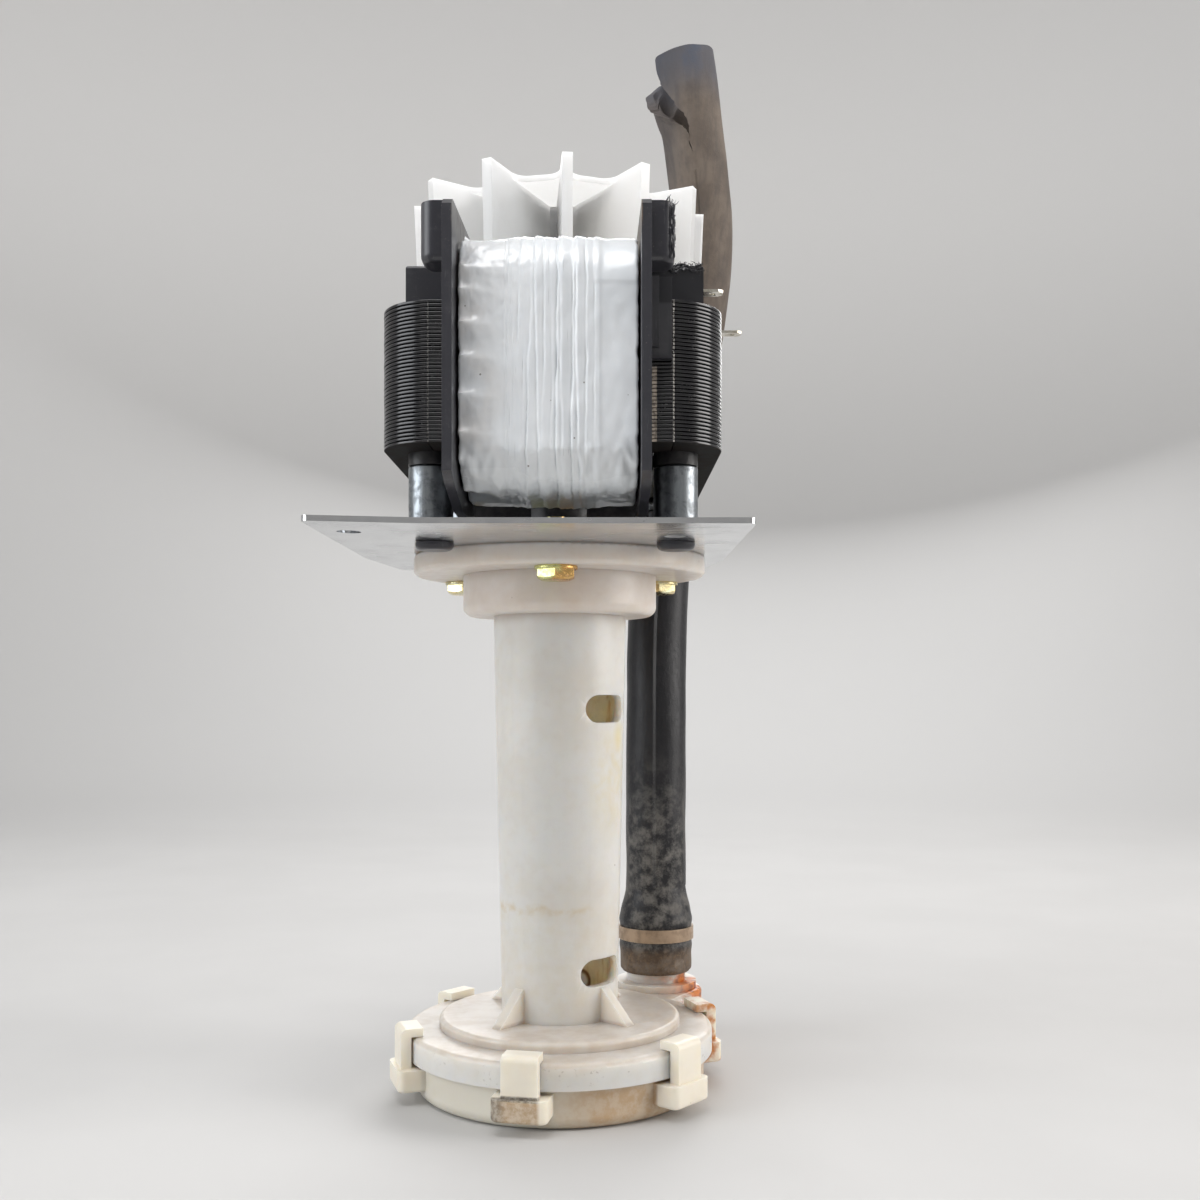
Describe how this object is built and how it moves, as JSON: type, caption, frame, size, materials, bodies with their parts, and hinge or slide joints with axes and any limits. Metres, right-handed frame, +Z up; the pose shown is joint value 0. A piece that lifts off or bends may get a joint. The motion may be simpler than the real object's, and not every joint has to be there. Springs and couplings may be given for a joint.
{
  "type": "upright sump pump",
  "caption": "Upright shaded-pole motor pump: finned fan and coil above a steel plate, tapered drive column, snap-together pump bowl below and a rubber outlet hose.",
  "frame": {"origin": "where the shaft axis meets the underside of the mounting plate, which is the plane that rests on the tank's deck", "axes": "+Z up along the shaft towards the fan; -Y towards the coil; +X towards the spade tabs"},
  "size_m": [0.0811, 0.1135, 0.2283],
  "materials": {
    "black_nylon": "semi-matt moulded",
    "bracket_black": "black painted steel",
    "bronze": "sintered bronze",
    "cast_aluminium": "die cast",
    "clamp_band": "tarnished band",
    "copper": "enamelled copper",
    "cream_nylon": "moulded, translucent, water-stained",
    "dark_steel": "blackened",
    "fan_nylon": "translucent milky nylon",
    "felt": "oiled felt",
    "fibre": "hard fibre",
    "galvanised_sheet": "galvanised",
    "ivory_nylon": "moulded, satin, water-stained",
    "lamination": "black varnish over punched sheets",
    "rotor_steel": "punched steel",
    "rubber": "black rubber",
    "stainless": "ground stainless",
    "tinned_brass": "tinned brass",
    "white_tape": "glossy film tape",
    "yellow_zinc": "yellow passivated zinc",
    "zinc_steel": "dull zinc plate"
  },
  "bodies": {
    "pump_frame": {"mounting_plate": "galvanised_sheet", "hole_plugs": "black_nylon", "spacer_tubes": "zinc_steel", "motor_screws": "dark_steel", "flange_screws": "yellow_zinc", "flange_nuts": "yellow_zinc", "stator_yoke": "lamination", "core_bar": "lamination", "shading_rings": "copper", "stator_rivets": "dark_steel", "coil_bobbin": "black_nylon", "coil_winding": "copper", "coil_tape": "white_tape", "spade_terminals": "tinned_brass", "lower_bearing_bracket": "bracket_black", "upper_bearing_bracket": "bracket_black", "lower_bearing": "bronze", "upper_bearing": "bronze", "lower_bearing_retainer": "stainless", "upper_bearing_retainer": "stainless", "oil_felts": "felt", "column_housing": "ivory_nylon", "pump_bowl": "cream_nylon", "hose": "rubber", "hose_cuff": "rubber", "hose_clamp": "clamp_band"},
    "rotor": {"motor_shaft": "stainless", "rotor_core": "rotor_steel", "rotor_cage": "cast_aluminium", "thrust_washers": "fibre", "cooling_fan": "fan_nylon", "fan_clip": "stainless", "shaft_slinger": "rubber", "impeller": "ivory_nylon", "impeller_screw": "stainless"}
  },
  "joints": [
    {"name": "rotor_spin", "type": "hinge", "parent": "pump_frame", "child": "rotor", "pos_m": [0, 0, 0], "axis": [0, 0, 1], "continuous": true}
  ]
}
